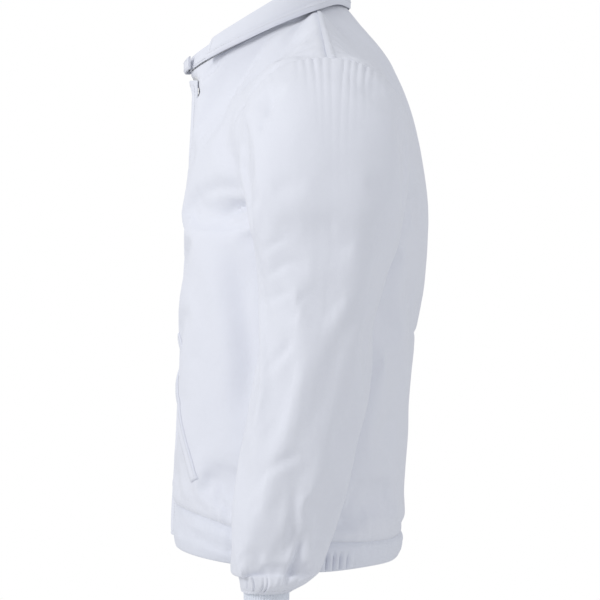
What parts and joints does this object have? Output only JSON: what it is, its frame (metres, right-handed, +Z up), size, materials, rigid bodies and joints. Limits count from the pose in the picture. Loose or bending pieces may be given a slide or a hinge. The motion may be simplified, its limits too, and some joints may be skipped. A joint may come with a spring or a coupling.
{
  "type": "padded blouson jacket",
  "caption": "Padded work jacket, waist length, with turned-down collar, throat tab, zip under a storm flap, full sleeves gathered into knit cuffs, slanted pockets and an elasticated waistband.",
  "frame": {"origin": "centre of the neck seam", "axes": "+Z up, -Y to the wearer's front, +X to the wearer's left"},
  "size_m": [0.7204, 0.2989, 0.7607],
  "materials": {
    "shell_cloth": "matt white plain-woven polyester cotton, padded",
    "lining_cloth": "smooth white lining, slight sheen",
    "wadding": "white polyester wadding",
    "rib_knit": "cool white ribbed knit",
    "tape": "white woven tape",
    "elastic": "white woven elastic",
    "zip_plastic": "white moulded",
    "zip_metal": "nickel, satin",
    "stud_metal": "dark nickel, satin"
  },
  "bodies": {
    "jacket": {"back_panel": "shell_cloth", "front_panel_left": "shell_cloth", "front_panel_right": "shell_cloth", "back_wadding": "wadding", "front_wadding_left": "wadding", "front_wadding_right": "wadding", "back_lining": "lining_cloth", "front_lining_left": "lining_cloth", "front_lining_right": "lining_cloth", "waistband_front_left": "shell_cloth", "waistband_front_right": "shell_cloth", "waistband_back": "shell_cloth", "waistband_side_left": "shell_cloth", "waistband_side_right": "shell_cloth", "side_elastic_left": "elastic", "side_elastic_right": "elastic", "collar_stand": "shell_cloth", "collar_interfacing": "wadding", "collar_stand_lining": "shell_cloth", "collar_fall": "shell_cloth", "collar_stud_post": "stud_metal", "zip_tape_left": "tape", "zip_tape_right": "tape", "zip_teeth_left": "zip_plastic", "zip_teeth_right": "zip_plastic", "zip_stops": "zip_metal", "zip_guard": "lining_cloth", "flap_stud_posts": "stud_metal", "pocket_welt_left": "shell_cloth", "pocket_welt_right": "shell_cloth", "pocket_bag_left": "lining_cloth", "pocket_bag_right": "lining_cloth", "neck_label": "tape"},
    "sleeve_left": {"sleeve_left": "shell_cloth", "sleeve_wadding_left": "wadding", "sleeve_lining_left": "lining_cloth", "knit_cuff_left": "rib_knit"},
    "sleeve_right": {"sleeve_right": "shell_cloth", "sleeve_wadding_right": "wadding", "sleeve_lining_right": "lining_cloth", "knit_cuff_right": "rib_knit"},
    "slider": {"zip_slider": "zip_metal"},
    "pull": {"zip_pull": "zip_metal"},
    "flap": {"storm_flap": "shell_cloth", "flap_stud_sockets": "stud_metal"},
    "throat_tab": {"collar_tab": "shell_cloth", "collar_stud_cap": "stud_metal"},
    "loop": {"hanger_loop": "tape"}
  },
  "joints": [
    {"name": "sleeve_left_swing", "type": "hinge", "parent": "jacket", "child": "sleeve_left", "pos_m": [0.2255, 0.0506, -0.13], "axis": [-1, 0, 0], "range_deg": [-25, 60]},
    {"name": "sleeve_right_swing", "type": "hinge", "parent": "jacket", "child": "sleeve_right", "pos_m": [-0.2255, 0.0506, -0.13], "axis": [-1, 0, 0], "range_deg": [-25, 60]},
    {"name": "zip_travel", "type": "slide", "parent": "jacket", "child": "slider", "axis": [0, -0.0489, -0.9988], "range_m": [0, 0.485]},
    {"name": "zip_pull_swing", "type": "hinge", "parent": "slider", "child": "pull", "pos_m": [0, -0.08324, -0.07503], "axis": [0, 0.9988, -0.0489], "range_deg": [-30, 30]},
    {"name": "storm_flap_fold", "type": "hinge", "parent": "jacket", "child": "flap", "pos_m": [0.032, -0.0971, -0.32145], "axis": [0, 0.0489, 0.9988], "range_deg": [0, 115]},
    {"name": "throat_tab_fold", "type": "hinge", "parent": "jacket", "child": "throat_tab", "pos_m": [0.02929, -0.08841, -0.03139], "axis": [0, 0.117, 0.9931], "range_deg": [0, 100]},
    {"name": "hanger_loop_swing", "type": "hinge", "parent": "jacket", "child": "loop", "pos_m": [0, 0.078, 0.036], "axis": [-1, 0, 0], "range_deg": [0, 150]}
  ]
}
